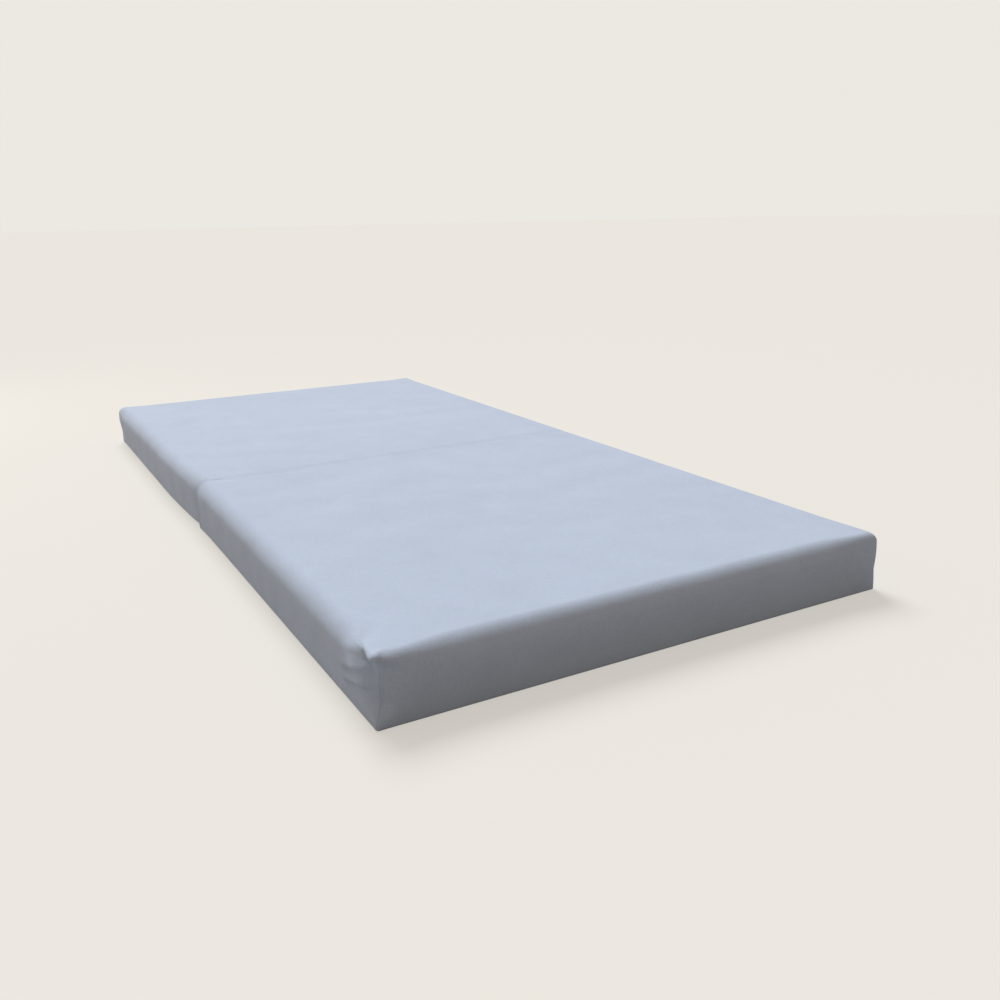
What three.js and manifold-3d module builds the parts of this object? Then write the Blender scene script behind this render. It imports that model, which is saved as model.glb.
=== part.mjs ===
// A bi-fold foam mattress. Two foam blocks of one size lie end to end, each in its own zipped fabric
// cover, and a seam across the top of the fold joins the covers, so that one half lifts up and over
// onto the other. Each cover is a top that turns down over the edges to the floor, a bottom panel, a
// wall at the fold, and a strip below the zip, which runs along the right-hand side.
//
// Millimetres, +Z up. The mattress lies open on z = 0, its length along Y and its width along X, and
// the origin is on the floor under its middle. The front half lies towards -Y, the rear half towards
// +Y, and the fold is at y = 0.
import * as THREE from "three";
import { mergeVertices } from "three/addons/utils/BufferGeometryUtils.js";
import Module from "manifold-3d";

const wasm = await Module();
wasm.setup();

// Overall sizes
const WIDTH = 900;
const LENGTH = 1900;
const HEIGHT = 100;
const EDGE_RADIUS = 28; // top edges, where the cover turns down
const CORNER_RADIUS = 8; // upright edges at the outer corners
const FOLD_GAP = 2; // between the walls of the two halves, laid open

// Cover
const FABRIC = 1.5;
const SEAM_GAP = 0.3; // between pieces that are sewn together or lie against each other
const SEAM_TAPE_WIDTH = 18; // binding of the fold seam, hanging in the gap
const SEAM_TAPE_THICK = 0.8;
const SEAM_TAPE_SETBACK = 6; // its ends, in from the sides
const SEAM_TAPE_DROP = 0.5; // its upper edge, below the top

// Zip: two tapes, each with half of the chain along its edge
const ZIP_DROP = 22; // middle of the chain, below where the wall begins to round over
const TAPE_WIDTH = 14;
const TAPE_THICK = 0.8;
const CHAIN_HALF = 2.2; // height of each half of the chain
const CHAIN_SLOT = 1.2; // between the halves, where the slider's neck runs
const CHAIN_THICK = 2.4;
const STOP_LENGTH = 5; // clamp that closes the chain at each end
const ZIP_END = 12; // from the ends of the strip to the stops

// Slider and its pull
const SLIDE_GAP = 0.4; // between the slider and what it runs on
const SLIDER_LENGTH = 13;
const SLIDER_PLATE = 1.2;
const SLIDER_FLANGE = 1;
const SLIDER_CORNER = 2;
const NECK_THICK = 0.6;
const NECK_LENGTH = 4;
const WINDOW_GAP = 1; // between the slider and the fabric's folded edges
const BRIDGE_LENGTH = 7.6;
const BRIDGE_WIDTH = 3;
const BRIDGE_WALL = 1.1;
const PULL_LENGTH = 27;
const PULL_THICK = 1.4;
const PULL_ARM = 1.4;
const PULL_HOLE_RADIUS = 1.5;

const ARC_STEPS = 8;
const BEYOND = 5; // how far a cutting solid runs past what it cuts

// The section's own frame has the fold at y = 0 and the section on its +Y side.
const side = WIDTH / 2;
const foldFace = FOLD_GAP / 2;
const outerEnd = LENGTH / 2;

// The zip's places follow from the wall that it closes.
const zipHeight = HEIGHT - EDGE_RADIUS - ZIP_DROP;
const wallInside = side - FABRIC;
const tapeOutside = wallInside - SEAM_GAP;
const tapeMiddle = tapeOutside - TAPE_THICK / 2;
const chainReach = CHAIN_SLOT / 2 + CHAIN_HALF; // from the middle of the chain to its edge
const tapeEdge = chainReach + SEAM_GAP;
const sliderInner = CHAIN_THICK / 2 + SLIDE_GAP; // from the tape's middle to the slider's plates
const sliderOuter = sliderInner + SLIDER_PLATE;
const sliderReach = chainReach + SLIDE_GAP + SLIDER_FLANGE; // half of the slider's height
const windowReach = sliderReach + WINDOW_GAP;
const stripEnd = outerEnd - CORNER_RADIUS - SEAM_GAP;
const zipStart = foldFace + FABRIC + SEAM_GAP + ZIP_END;
const zipFinish = stripEnd - ZIP_END;
const pullAxis = sliderOuter + SLIDE_GAP + PULL_THICK / 2; // outwards from the tape's middle

const fabric = new THREE.MeshStandardMaterial({ color: 0xbfc6d4, roughness: 0.92, metalness: 0 });
const foam = new THREE.MeshStandardMaterial({ color: 0xece2c4, roughness: 0.95, metalness: 0 });
const binding = new THREE.MeshStandardMaterial({ color: 0xaeb4c0, roughness: 0.9, metalness: 0 });
const zipTape = new THREE.MeshStandardMaterial({ color: 0x8d929d, roughness: 0.85, metalness: 0 });
const zipTeeth = new THREE.MeshStandardMaterial({ color: 0x6f747f, roughness: 0.45, metalness: 0 });
const metal = new THREE.MeshStandardMaterial({ color: 0xb9bbbe, roughness: 0.35, metalness: 1 });

// A closed geometry as a solid that can be cut and joined.
function solidOf(geometry) {
  const bare = geometry.clone();
  bare.deleteAttribute("normal");
  bare.deleteAttribute("uv");
  const merged = mergeVertices(bare, 1e-4);
  return new wasm.Manifold(
    new wasm.Mesh({
      numProp: 3,
      vertProperties: merged.getAttribute("position").array,
      triVerts: new Uint32Array(merged.index.array),
    }),
  );
}

function geometryOf(solid) {
  const { numProp, vertProperties, triVerts } = solid.getMesh();
  const points = new Float32Array((vertProperties.length / numProp) * 3);
  for (let i = 0; i < points.length / 3; i++)
    points.set(vertProperties.subarray(i * numProp, i * numProp + 3), i * 3);
  const geometry = new THREE.BufferGeometry();
  geometry.setAttribute("position", new THREE.BufferAttribute(points, 3));
  geometry.setIndex(new THREE.BufferAttribute(triVerts, 1));
  geometry.computeVertexNormals();
  return geometry;
}

// A box between two corners.
function box([x0, y0, z0], [x1, y1, z1]) {
  const geometry = new THREE.BoxGeometry(x1 - x0, y1 - y0, z1 - z0);
  return geometry.translate((x0 + x1) / 2, (y0 + y1) / 2, (z0 + z1) / 2);
}

// An outline extruded along an axis: its two directions are X and Y along Z, X and Z along Y, or Y
// and Z along X.
function extrude(outline, axis, from, to) {
  const geometry = new THREE.ExtrudeGeometry(outline, {
    depth: to - from,
    bevelEnabled: false,
    curveSegments: ARC_STEPS,
  });
  const turn = new THREE.Matrix4();
  const x = new THREE.Vector3(1, 0, 0);
  const y = new THREE.Vector3(0, 1, 0);
  const z = new THREE.Vector3(0, 0, 1);
  if (axis === "x") turn.makeBasis(y, z, x);
  if (axis === "y") turn.makeBasis(x, z, y.clone().negate());
  geometry.applyMatrix4(turn);
  const start = { x: [from, 0, 0], y: [0, to, 0], z: [0, 0, from] };
  return geometry.translate(...start[axis]);
}

// A rectangle with a radius for each corner, in the order low-left, low-right, high-right, high-left.
function roundedRectangle(x0, y0, x1, y1, [lowLeft, lowRight, highRight, highLeft]) {
  const outline = new THREE.Shape();
  outline.moveTo(x0 + lowLeft, y0);
  outline.lineTo(x1 - lowRight, y0);
  if (lowRight) outline.absarc(x1 - lowRight, y0 + lowRight, lowRight, -Math.PI / 2, 0);
  outline.lineTo(x1, y1 - highRight);
  if (highRight) outline.absarc(x1 - highRight, y1 - highRight, highRight, 0, Math.PI / 2);
  outline.lineTo(x0 + highLeft, y1);
  if (highLeft) outline.absarc(x0 + highLeft, y1 - highLeft, highLeft, Math.PI / 2, Math.PI);
  outline.lineTo(x0, y0 + lowLeft);
  if (lowLeft) outline.absarc(x0 + lowLeft, y0 + lowLeft, lowLeft, Math.PI, 1.5 * Math.PI);
  return outline;
}

// The section cut across its width, taken in by inset, with its lower edge at bottom.
function crossSection(inset, bottom) {
  const round = EDGE_RADIUS - inset;
  return roundedRectangle(inset - side, bottom, side - inset, HEIGHT - inset, [0, 0, round, round]);
}

// The section from above, taken in by inset, from the fold edge at start.
function plan(inset, start) {
  const round = CORNER_RADIUS - inset;
  return roundedRectangle(inset - side, start, side - inset, outerEnd - inset, [0, 0, round, round]);
}

// A section's whole form, taken in by inset, from the fold edge at start and the height bottom. Its
// top edges are round on the three outer sides.
function block(inset, start, bottom) {
  const round = EDGE_RADIUS - inset;
  const lengthways = roundedRectangle(start, bottom, outerEnd - inset, HEIGHT - inset, [0, 0, round, 0]);
  return solidOf(extrude(crossSection(inset, bottom), "y", start, outerEnd - inset))
    .intersect(solidOf(extrude(lengthways, "x", inset - side, side - inset)))
    .intersect(solidOf(extrude(plan(inset, start), "z", bottom, HEIGHT - inset)));
}

// The block of foam. Along the zip it gives way, so that the tapes and the slider lie flush.
function foamCore() {
  const inset = FABRIC + SEAM_GAP;
  const groove = box(
    [tapeMiddle - sliderOuter - SLIDE_GAP, 0, zipHeight - tapeEdge - TAPE_WIDTH - SEAM_GAP],
    [side, outerEnd + BEYOND, zipHeight + tapeEdge + TAPE_WIDTH + SEAM_GAP],
  );
  return geometryOf(block(inset, foldFace + inset, inset).subtract(solidOf(groove)));
}

// The top of the cover with the walls that it turns down into, open below and at the fold. On the
// zip side its wall ends at the upper edge of the zip's window.
function coverTop() {
  const window = box(
    [wallInside - BEYOND, foldFace - BEYOND, -BEYOND],
    [side + BEYOND, stripEnd + SEAM_GAP, zipHeight + windowReach],
  );
  const shell = block(0, foldFace, FABRIC + SEAM_GAP).subtract(block(FABRIC, foldFace - BEYOND, -BEYOND));
  return geometryOf(shell.subtract(solidOf(window)));
}

// The wall strip below the zip.
function sideStrip() {
  return box(
    [wallInside, foldFace, FABRIC + SEAM_GAP],
    [side, stripEnd, zipHeight - windowReach],
  );
}

// The wall that faces the other half.
function foldWall() {
  const outline = crossSection(FABRIC + SEAM_GAP, FABRIC + SEAM_GAP);
  return extrude(outline, "y", foldFace, foldFace + FABRIC);
}

function bottomPanel() {
  return extrude(plan(0, foldFace), "z", 0, FABRIC);
}

// The binding sewn along the seam that joins the two covers, seen edge-on in the fold gap.
function foldSeamTape() {
  const reach = side - EDGE_RADIUS - SEAM_TAPE_SETBACK;
  const top = HEIGHT - SEAM_TAPE_DROP;
  return box(
    [-reach, -SEAM_TAPE_THICK / 2, top - SEAM_TAPE_WIDTH],
    [reach, SEAM_TAPE_THICK / 2, top],
  );
}

// The zip's own frame: its origin is in the middle of the chain and of the tape's thickness, with +X
// out of the wall, +Y away from the fold and +Z up. Both halves are alike, so up is 1 or -1.
function zipTapeHalf(up) {
  const reach = [up * tapeEdge, up * (tapeEdge + TAPE_WIDTH)].sort((a, b) => a - b);
  return box(
    [-TAPE_THICK / 2, foldFace + FABRIC + SEAM_GAP, reach[0]],
    [TAPE_THICK / 2, stripEnd, reach[1]],
  );
}

function chainHalf(up) {
  const reach = [(up * CHAIN_SLOT) / 2, up * chainReach].sort((a, b) => a - b);
  return box(
    [-CHAIN_THICK / 2, zipStart + STOP_LENGTH + SEAM_GAP, reach[0]],
    [CHAIN_THICK / 2, zipFinish - STOP_LENGTH - SEAM_GAP, reach[1]],
  );
}

// The clamp across both halves of the chain at its end, from start along the zip.
function zipStop(start) {
  return box(
    [-CHAIN_THICK / 2, start, -chainReach],
    [CHAIN_THICK / 2, start + STOP_LENGTH, chainReach],
  );
}

// One plate of the slider with its two flanges turned in towards the tape; out is 1 for the plate
// outside the wall and -1 for the one inside. The tape passes between the two plates' flanges.
function sliderPlate(out) {
  const lip = TAPE_THICK / 2 + SLIDE_GAP;
  const channel = sliderReach - SLIDER_FLANGE;
  const profile = new THREE.Shape();
  profile.moveTo(out * lip, -sliderReach);
  profile.lineTo(out * sliderOuter, -sliderReach);
  profile.lineTo(out * sliderOuter, sliderReach);
  profile.lineTo(out * lip, sliderReach);
  profile.lineTo(out * lip, channel);
  profile.lineTo(out * sliderInner, channel);
  profile.lineTo(out * sliderInner, -channel);
  profile.lineTo(out * lip, -channel);
  profile.closePath();
  return solidOf(extrude(profile, "y", -SLIDER_LENGTH / 2, SLIDER_LENGTH / 2));
}

// The arch on the slider's outer plate that holds the pull.
function sliderBridge() {
  const half = BRIDGE_LENGTH / 2;
  const foot = sliderOuter - SLIDER_PLATE / 2;
  const opening = pullAxis + PULL_THICK / 2 + SLIDE_GAP;
  const profile = roundedRectangle(foot, -half, opening + BRIDGE_WALL, half, [0, 1, 1, 0]);
  const inner = half - BRIDGE_WALL;
  profile.holes.push(roundedRectangle(sliderOuter, -inner, opening, inner, [0, 0, 0, 0]));
  return solidOf(extrude(profile, "z", -BRIDGE_WIDTH / 2, BRIDGE_WIDTH / 2));
}

function zipSlider() {
  const half = SLIDER_LENGTH / 2;
  const corners = [SLIDER_CORNER, SLIDER_CORNER, SLIDER_CORNER, SLIDER_CORNER];
  const outline = roundedRectangle(-half, -sliderReach, half, sliderReach, corners);
  const neck = box(
    [-sliderOuter + SLIDER_PLATE / 2, half - NECK_LENGTH - SLIDER_CORNER / 2, -NECK_THICK / 2],
    [sliderOuter - SLIDER_PLATE / 2, half - SLIDER_CORNER / 2, NECK_THICK / 2],
  );
  const plates = sliderPlate(1)
    .add(sliderPlate(-1))
    .intersect(solidOf(extrude(outline, "x", -sliderOuter, sliderOuter)));
  return geometryOf(plates.add(solidOf(neck)).add(sliderBridge()));
}

// The pull in its own frame: it turns about Z at the origin and points along -Y. Its eye goes round
// the bridge, and a small hole near its tip takes a cord.
function zipPull() {
  const bar = PULL_THICK / 2;
  const eyeEnd = Math.hypot(BRIDGE_LENGTH / 2, bar + SLIDE_GAP + BRIDGE_WALL) + SLIDE_GAP;
  const eye = BRIDGE_WIDTH / 2 + SLIDE_GAP;
  const reach = eye + PULL_ARM;
  const tip = bar - PULL_LENGTH;
  const profile = roundedRectangle(tip, -reach, bar, reach, [reach - 1, bar, bar, reach - 1]);
  profile.holes.push(roundedRectangle(-eyeEnd, -eye, -bar, eye, [0, 0, 0, 0]));
  const hole = new THREE.Path();
  hole.absarc(tip + reach, 0, PULL_HOLE_RADIUS, 0, 2 * Math.PI, true);
  profile.holes.push(hole);
  return extrude(profile, "x", -PULL_THICK / 2, PULL_THICK / 2);
}

function mesh(name, geometry, material) {
  const made = new THREE.Mesh(geometry, material);
  made.name = name;
  return made;
}

// One half of the mattress, on the +Y side of the fold.
function section(name) {
  const group = new THREE.Group();
  group.add(mesh(`${name}_foam_core`, foamCore(), foam));
  group.add(mesh(`${name}_cover_top`, coverTop(), fabric));
  group.add(mesh(`${name}_side_strip`, sideStrip(), fabric));
  group.add(mesh(`${name}_fold_wall`, foldWall(), fabric));
  group.add(mesh(`${name}_bottom_panel`, bottomPanel(), fabric));

  const zip = new THREE.Group();
  zip.position.set(tapeMiddle, 0, zipHeight);
  zip.add(mesh(`${name}_zip_tape_upper`, zipTapeHalf(1), zipTape));
  zip.add(mesh(`${name}_zip_tape_lower`, zipTapeHalf(-1), zipTape));
  zip.add(mesh(`${name}_zip_chain_upper`, chainHalf(1), zipTeeth));
  zip.add(mesh(`${name}_zip_chain_lower`, chainHalf(-1), zipTeeth));
  zip.add(mesh(`${name}_zip_stop_fold`, zipStop(zipStart), metal));
  zip.add(mesh(`${name}_zip_stop_outer`, zipStop(zipFinish - STOP_LENGTH), metal));

  // Closed, the slider stands against the outer stop, and the pull lies back along the chain.
  const slider = new THREE.Group();
  slider.position.y = zipFinish - STOP_LENGTH - SEAM_GAP - SLIDER_LENGTH / 2;
  slider.add(mesh(`${name}_zip_slider`, zipSlider(), metal));
  const pull = mesh(`${name}_zip_pull`, zipPull(), metal);
  pull.position.x = pullAxis;
  slider.add(pull);
  zip.add(slider);

  group.add(zip);
  return group;
}

const mattress = new THREE.Group();
const rear = section("rear");
const front = section("front");
front.scale.y = -1;
mattress.add(front, rear);
mattress.add(mesh("fold_seam_tape", foldSeamTape(), binding));

export default mattress;
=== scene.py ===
"""Looks of the bi-fold foam mattress: soft zipped covers, foam, seams, zips and their materials.

Each half is built in one frame that has the fold at y = 0 and the half on its +Y side. The front half
is that frame mirrored in Y. A half is a lattice on the box that it fills, softened into a padded form,
and then cut along its seams into the panels of its cover.
"""

import math

import bpy
import numpy as np
from mathutils import Matrix, Vector
from mathutils.kdtree import KDTree


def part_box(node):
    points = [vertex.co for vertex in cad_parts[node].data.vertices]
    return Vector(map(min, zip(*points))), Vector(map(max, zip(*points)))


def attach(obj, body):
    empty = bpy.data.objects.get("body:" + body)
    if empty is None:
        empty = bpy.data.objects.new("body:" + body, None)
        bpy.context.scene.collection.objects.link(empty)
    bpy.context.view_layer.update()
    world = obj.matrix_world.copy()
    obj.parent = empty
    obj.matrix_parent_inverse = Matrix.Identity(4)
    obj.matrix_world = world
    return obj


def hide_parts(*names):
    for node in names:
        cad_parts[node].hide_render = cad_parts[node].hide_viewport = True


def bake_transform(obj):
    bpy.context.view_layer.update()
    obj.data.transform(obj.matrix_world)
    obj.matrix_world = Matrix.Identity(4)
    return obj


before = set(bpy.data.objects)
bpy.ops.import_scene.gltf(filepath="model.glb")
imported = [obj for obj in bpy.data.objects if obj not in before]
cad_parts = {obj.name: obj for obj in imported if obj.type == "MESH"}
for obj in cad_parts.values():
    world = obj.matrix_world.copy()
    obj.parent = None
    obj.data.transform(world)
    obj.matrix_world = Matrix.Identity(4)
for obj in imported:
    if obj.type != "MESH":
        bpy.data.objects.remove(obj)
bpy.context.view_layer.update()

# ---------------------------------------------------------------- sizes, from the frame
cover_low, cover_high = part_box("rear_cover_top")
HALF_WIDTH = cover_high.x
TOP = cover_high.z
OUTER = cover_high.y
FOLD_FACE = cover_low.y
strip_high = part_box("rear_side_strip")[1]
ZIP_LOW = strip_high.z  # the zip's window in the wall, between the strip below it and the cloth above it
ZIP_END = strip_high.y
stop_low, stop_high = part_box("rear_zip_stop_fold")
ZIP_MIDDLE = (stop_low.z + stop_high.z) / 2
ZIP_HIGH = 2 * ZIP_MIDDLE - ZIP_LOW
TAPE_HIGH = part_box("rear_zip_tape_upper")[1].z
STOP_GAP = 0.0005
OPEN_FROM = stop_low.y - STOP_GAP  # the cloth parts between these, round the chain and its stops
OPEN_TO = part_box("rear_zip_stop_outer")[1].y + STOP_GAP

# ---------------------------------------------------------------- shape of the soft form
EDGE_R = 0.028  # top edges, at the end and on the left
RIGHT_R = 0.020  # the right-hand top edge
EAR_R = {"front": (0.0085, 0.015), "rear": (0.016, 0.015)}  # the same edges at the left and right corners
FRONT_EAR_R = 0.018  # the front half's left ear, on the side along its end
EAR_REACH = {"front": (0.030, 0.118), "rear": (0.008, 0.080)}  # from the corner, where they widen
FOLD_R = 0.0045  # edges at the fold
LEFT_FOLD_R = {"front": 0.0026, "rear": 0.0100}  # and where they meet the left wall
HEM_R = 0.0014  # edge along the floor
CLOTH = 0.0015  # thickness of the cover's cloth
FRONT_CORNER_REACH = 0.060  # how far the front half's softer left corner runs along its walls


def smooth(x, a, b):
    t = np.clip((x - a) / (b - a), 0, 1)
    return t * t * (3 - 2 * t)


def hump(x, centre, width):
    return np.exp(-(((x - centre) / width) ** 2))


def spaced(start, stop, near_start, near_stop, step, wanted=()):
    """Lattice lines from start to stop: close together near both ends, and step apart between."""
    lines = [start + d for d in near_start] + [stop - d for d in near_stop]
    a, b = start + near_start[-1], stop - near_stop[-1]
    n = max(1, int(round((b - a) / step)))
    lines += [a + (b - a) * i / n for i in range(1, n)]
    for w in wanted:
        lines = [v for v in lines if abs(v - w) > 0.0009 or v in (start, stop)]
        lines.append(w)
    return np.array(sorted(set(np.round(lines, 6))))


MM = 0.001
NEAR = 1e-6  # two lattice places closer than this are the same
# Distances in from a box's face at which its lattice has lines
FINE = np.array([0, 1.2, 2.6, 4.2, 6, 8, 10.5, 13, 15.5, 18, 20.5, 23, 25.5, 28, 31, 35, 40, 46, 53, 61,
                 70, 80]) * MM
FINER = np.array([0, 1.0, 2.2, 3.6, 5, 6.5, 8, 9.6, 11.2, 12.8, 14.4, 16, 17.6, 19.2, 20.8, 22.4, 24,
                  25.6, 27.2, 29, 31, 33, 35, 37.5, 40, 43, 46, 50, 54, 58, 63, 68, 74, 80, 88, 96]) * MM
LOW = np.array([0, 1.2, 2.6, 4.5, 7, 10, 14]) * MM


class Lattice:
    """The surface of a box as one closed quad mesh, with lines where they are asked for."""

    def __init__(self, xs, ys, zs):
        self.lines = (xs, ys, zs)
        nx, ny, nz = len(xs) - 1, len(ys) - 1, len(zs) - 1
        quads, sides = [], []

        def grid(name, make, nu, nv, flip):
            u, v = np.meshgrid(np.arange(nu), np.arange(nv), indexing="ij")
            u, v = u.ravel(), v.ravel()
            ring = [make(u, v), make(u + 1, v), make(u + 1, v + 1), make(u, v + 1)]
            if flip:
                ring = ring[::-1]
            quads.append(np.stack([np.stack(r, 1) for r in ring], 1))
            sides.extend([name] * len(u))

        full = np.zeros_like
        grid("top", lambda u, v: (u, v, full(u) + nz), nx, ny, False)
        grid("bottom", lambda u, v: (u, v, full(u)), nx, ny, True)
        grid("left", lambda u, v: (full(u), u, v), ny, nz, True)
        grid("right", lambda u, v: (full(u) + nx, u, v), ny, nz, False)
        grid("fold", lambda u, v: (u, full(u), v), nx, nz, False)
        grid("outer", lambda u, v: (u, full(u) + ny, v), nx, nz, True)
        quads = np.concatenate(quads)
        flat = quads.reshape(-1, 3)
        keys, index = np.unique(flat, axis=0, return_inverse=True)
        self.faces = index.reshape(-1, 4)
        self.sides = np.array(sides)
        self.raw = np.stack([xs[keys[:, 0]], ys[keys[:, 1]], zs[keys[:, 2]]], 1)
        self.corners = quads  # lattice address of each face corner


def coarse_lattice():
    """The lattice for the settling cloth."""
    return Lattice(
        np.linspace(-HALF_WIDTH, HALF_WIDTH, 66), np.linspace(FOLD_FACE, OUTER, 70), np.linspace(0, TOP, 9)
    )


GRID_STEP = 0.0098
ZIP_EDGE_STEP = 0.0012


def half_lattice(gathered):
    """The lattice for a cover, finer towards the left outer corner where the cloth is gathered there."""
    corner = FINER if gathered else FINE
    xs = spaced(-HALF_WIDTH, HALF_WIDTH, corner, FINE, GRID_STEP)
    ys = spaced(FOLD_FACE, OUTER, FINE, corner, GRID_STEP, [OPEN_FROM, OPEN_TO, ZIP_END])
    zs = spaced(0, TOP, LOW, FINE[:14], 0.0026 if gathered else 0.0040,
                [ZIP_LOW, ZIP_LOW - ZIP_EDGE_STEP, ZIP_HIGH, ZIP_HIGH + ZIP_EDGE_STEP])
    return Lattice(xs, ys, zs)


def inner(p, radius, sides):
    """The nearest places to p in the box that lies radius inside the faces named in sides."""
    c = p.copy()
    if "x" in sides:
        c[:, 0] = np.clip(c[:, 0], radius - HALF_WIDTH, HALF_WIDTH - radius)
    if "fold" in sides:
        c[:, 1] = np.maximum(c[:, 1], FOLD_FACE + radius)
    if "outer" in sides:
        c[:, 1] = np.minimum(c[:, 1], OUTER - radius)
    if "floor" in sides:
        c[:, 2] = np.maximum(c[:, 2], radius)
    if "top" in sides:
        c[:, 2] = np.minimum(c[:, 2], TOP - radius)
    return c


def rolled(p, radius, sides, axis):
    """Rounds the edges between the faces across axis and the other faces in sides, with mitred corners."""
    c = inner(p, radius, sides)
    d = p - c
    a = np.abs(d[:, axis])
    b = np.abs(np.delete(d, axis, 1)).max(1)
    far = np.maximum(np.hypot(a, b), 1e-9)
    scale = np.where(far > 1e-8, np.maximum(a, b) / far, 1)
    return c + d * scale[:, None]


def squircled(p, power, reach):
    """Rounds the upright corners at the outer end: the higher the power, the sharper they are."""
    c = inner(p, reach, ("x", "outer"))[:, :2]
    d = p[:, :2] - c
    longest = np.maximum(np.abs(d).max(1), 1e-9)
    ratio = np.abs(d).min(1) / longest
    out = p.copy()
    out[:, :2] = c + d * ((1 + ratio ** power) ** (-1 / power))[:, None]
    return out


def edge_radius(p, name):
    """Radius of the top edge nearest to each point. It tightens where two edges meet."""
    in_left, in_right, in_outer = p[:, 0] + HALF_WIDTH, HALF_WIDTH - p[:, 0], OUTER - p[:, 1]
    left = in_left < in_right
    in_side = np.where(left, in_left, in_right)
    base = np.where(in_outer < in_side, EDGE_R, np.where(left, EDGE_R, RIGHT_R))
    ear = np.where(left, *EAR_R[name])
    if name == "front":
        along_end = left * (1 - smooth(in_outer - in_side, -0.010, 0.010))
        ear = ear + (FRONT_EAR_R - ear) * along_end
    return ear + (base - ear) * smooth(np.maximum(in_side, in_outer), *EAR_REACH[name])


def normals(points, faces):
    a, b, c, d = (points[faces[:, i]] for i in range(4))
    n = np.cross(c - a, d - b)
    out = np.zeros_like(points)
    for i in range(4):
        np.add.at(out, faces[:, i], n)
    return out / np.maximum(np.linalg.norm(out, axis=1), 1e-12)[:, None]


def wall_swell(z):
    """How far a padded wall stands out at a height."""
    return 0.0013 * hump(z, 0.064, 0.022) - 0.0006 * hump(z, 0.026, 0.018)


ZIP_WALL_SWELL = 0.35  # of that, where the zip holds the wall flat


def shaped(lattice, name):
    """The padded form before its cloth is fitted: rounded edges, and walls that swell a little."""
    raw = lattice.raw
    at_left = smooth(-raw[:, 0], 0.85 * HALF_WIDTH, 0.985 * HALF_WIDTH)
    fold_radius = FOLD_R + (LEFT_FOLD_R[name] - FOLD_R) * at_left
    p = rolled(raw, fold_radius, ("x", "fold", "floor", "top"), 1)
    p = rolled(p, HEM_R, ("x", "outer", "floor"), 2)
    p = rolled(p, edge_radius(p, name), ("x", "outer", "top"), 2)
    power = 14 - 8 * smooth(p[:, 2], 0.006, 0.040)
    reach = EDGE_R
    if name == "front":  # its left corner is softer under the ear
        above_floor, under_ear = smooth(p[:, 2], 0.001, 0.036), smooth(p[:, 2], 0.083, 0.096)
        soft = 1 / (0.022 + 0.363 * above_floor - 0.290 * under_ear)
        power = np.where(p[:, 0] < 0, soft, power)
        reach = np.where(p[:, 0] < 0, FRONT_CORNER_REACH, EDGE_R)
    p = squircled(p, power, reach)

    from_outer = OUTER - raw[:, 1]
    swell = wall_swell(p[:, 2])
    on_zip_wall = smooth(p[:, 0], 0.96 * HALF_WIDTH, HALF_WIDTH) * smooth(from_outer, 0.02, 0.06)
    swell *= 1 - (1 - ZIP_WALL_SWELL) * on_zip_wall
    swell[raw[:, 1] < FOLD_FACE + NEAR] = 0
    n = normals(p, lattice.faces)
    n[:, 1] = np.maximum(n[:, 1], 0)
    n[:, 2] = 0
    return p + n * swell[:, None]


def mirrored(points, front):
    return points * np.array([1, -1, 1]) if front else points


# ---------------------------------------------------------------- mesh helpers
def new_object(name, points, faces):
    mesh = bpy.data.meshes.new(name)
    mesh.from_pydata(points, [], faces)
    mesh.update()
    mesh.shade_smooth()
    obj = bpy.data.objects.new(name, mesh)
    bpy.context.scene.collection.objects.link(obj)
    return obj


def new_mesh(name, points, faces, front=False):
    """An object from arrays of points and of faces, mirrored for the front half."""
    points = mirrored(np.asarray(points), front)
    faces = np.asarray(faces)
    if front:
        faces = faces[:, ::-1]
    return new_object(name, points.tolist(), faces.tolist())


# ---------------------------------------------------------------- the cloth, fitted over the foam
CREASE_SEEDS = {"front": 3, "rear": 8}
RIPPLES, RIPPLE_HEIGHT = 24, 0.00012  # on the cloth before it settles
SETTLE_FRAMES = 20
FREE_HOLD = 0.2  # how firmly the foam holds the cloth away from its seams
CLOTH_SETTINGS = dict(
    quality=7, mass=0.3, tension_stiffness=25, compression_stiffness=25, shear_stiffness=12,
    bending_stiffness=60, vertex_group_mass="held", pin_stiffness=2, use_pressure=True,
    uniform_pressure_force=1, shrink_min=-0.006,
)


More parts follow.
